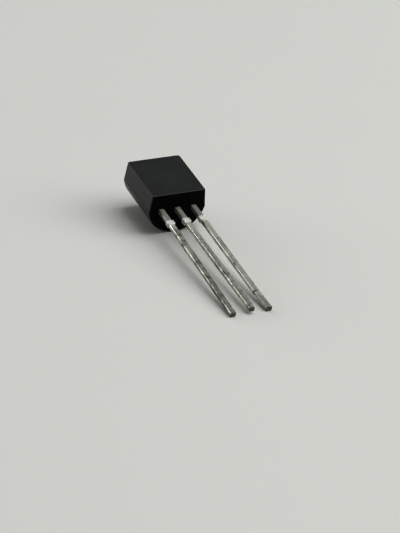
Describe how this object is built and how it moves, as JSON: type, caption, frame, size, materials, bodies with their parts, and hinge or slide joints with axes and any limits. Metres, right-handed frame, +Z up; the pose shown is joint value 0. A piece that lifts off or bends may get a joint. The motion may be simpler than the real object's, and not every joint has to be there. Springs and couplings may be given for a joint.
{
  "type": "to-92 transistor",
  "caption": "Through-hole transistor: a black moulded body with one flat face and a round back, and a row of straight tinned leads, lying flat face up.",
  "frame": {"origin": "middle of the resting package's box, on the surface that it lies on", "axes": "+Y from the lead tips towards the closed end of the body, +Z up, +X across the row of leads from the emitter lead to the collector lead"},
  "size_m": [0.0044, 0.0176, 0.0039],
  "materials": {
    "moulding": "black moulding compound with a fine spark-eroded texture and a dull satin sheen",
    "tinned_lead": "dull tin plating with streaks along the lead, brown where the ends were cropped",
    "silicon": "sawn silicon, polished grey on top",
    "solder": "satin solder",
    "gold_wire": "smooth drawn gold"
  },
  "bodies": {
    "root": {"body": "moulding", "emitter_lead": "tinned_lead", "base_lead": "tinned_lead", "collector_lead": "tinned_lead", "chip": "silicon", "chip_solder": "solder", "emitter_wire": "gold_wire", "base_wire": "gold_wire"}
  },
  "joints": []
}
